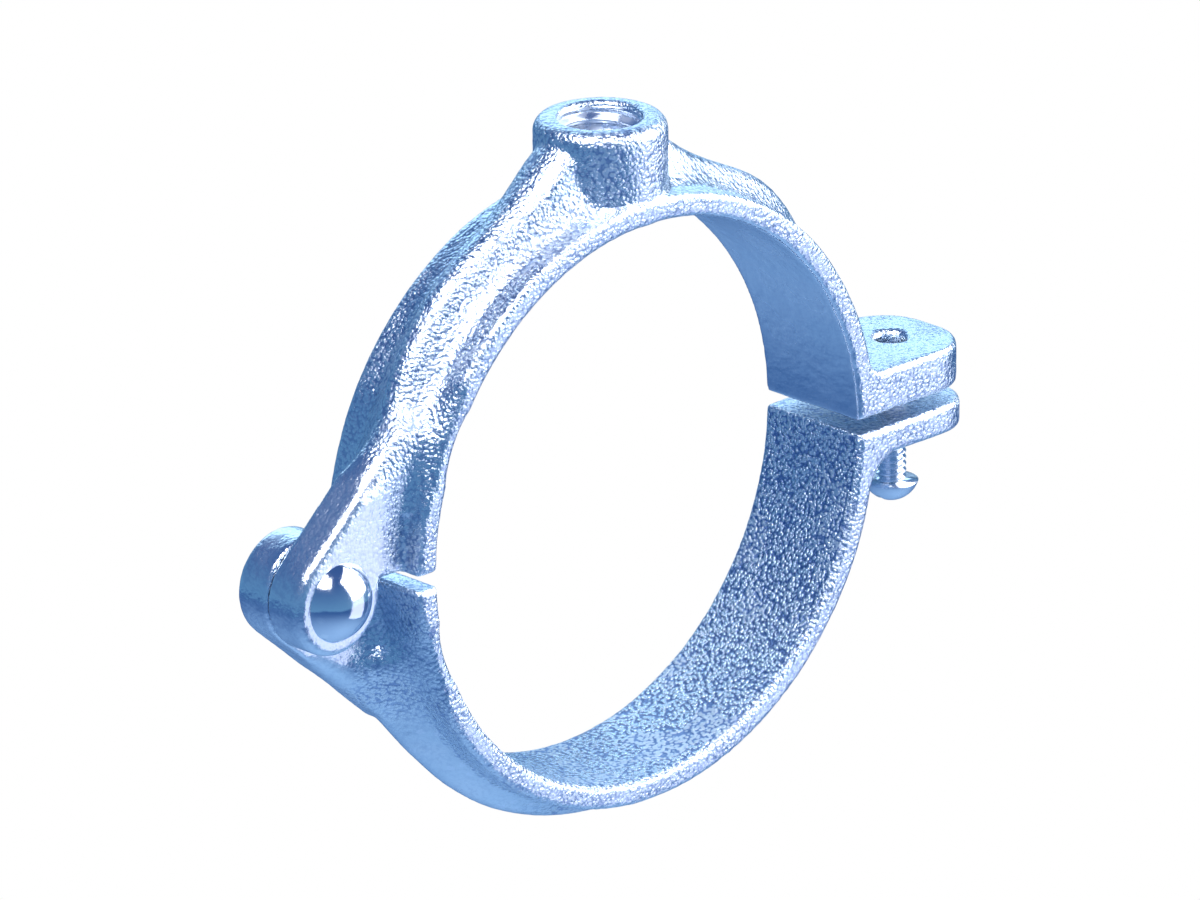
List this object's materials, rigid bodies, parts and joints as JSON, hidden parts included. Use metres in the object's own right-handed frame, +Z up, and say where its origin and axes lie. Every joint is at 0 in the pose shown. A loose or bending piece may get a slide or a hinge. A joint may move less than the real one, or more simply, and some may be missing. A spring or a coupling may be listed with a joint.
{
  "type": "split ring hanger",
  "caption": "Hinged cast split ring for a steel pipe, with a threaded rod boss on top, a riveted hinge and a clamp screw.",
  "frame": {"origin": "centre of the pipe bore, halfway across the band", "axes": "+Z up along the rod boss, +Y along the pipe axis to the back, +X to the screw side"},
  "size_m": [0.14, 0.0211, 0.1114],
  "materials": {
    "casting": "bright zinc plating over grainy cast iron, with a blue tint",
    "rivet": "smooth bright zinc plating",
    "screw": "bright zinc plating"
  },
  "bodies": {
    "upper": {"upper_half": "casting", "hinge_rivet": "rivet"},
    "lower": {"lower_half": "casting"},
    "screw": {"clamp_screw": "screw"}
  },
  "joints": [
    {"name": "hinge_swing", "type": "hinge", "parent": "upper", "child": "lower", "pos_m": [-0.061, 0, 0], "axis": [0, 1, 0], "range_deg": [0, 150]},
    {"name": "screw_travel", "type": "slide", "parent": "lower", "child": "screw", "axis": [0, 0, 1], "range_m": [0, 0.0095]}
  ]
}
